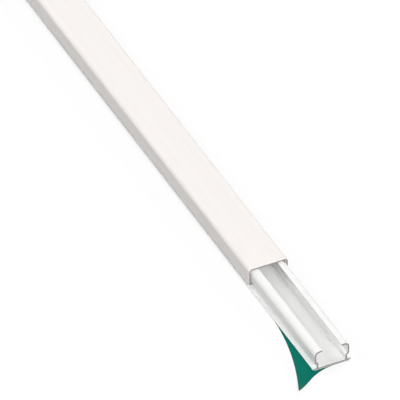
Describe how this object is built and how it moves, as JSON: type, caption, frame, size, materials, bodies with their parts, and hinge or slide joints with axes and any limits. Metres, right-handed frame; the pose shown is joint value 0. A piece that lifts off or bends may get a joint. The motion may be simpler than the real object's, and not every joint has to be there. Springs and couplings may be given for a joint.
{
  "type": "cord cover raceway",
  "caption": "Self-adhesive plastic cord raceway: a lipped base channel, a cover that snaps over it and slides, foam tape on its back and a film to peel off, with one corner lifted.",
  "frame": {"origin": "middle of the release liner's flat underside, which is the side that goes to the wall", "axes": "+X along the stock towards the end where the base is bare, +Y across it, +Z away from the wall"},
  "size_m": [1.0765, 0.0325, 0.0119],
  "materials": {
    "base_pvc": "satin",
    "cover_pvc": "satin",
    "foam": "matte",
    "film": "satin"
  },
  "bodies": {
    "base": {"base_channel": "base_pvc", "adhesive_tape": "foam", "release_liner": "film"},
    "cover": {"snap_cover": "cover_pvc"}
  },
  "joints": [
    {"name": "cover_slide", "type": "slide", "parent": "base", "child": "cover", "axis": [1, 0, 0], "range_m": [-0.935, 0.065]}
  ]
}
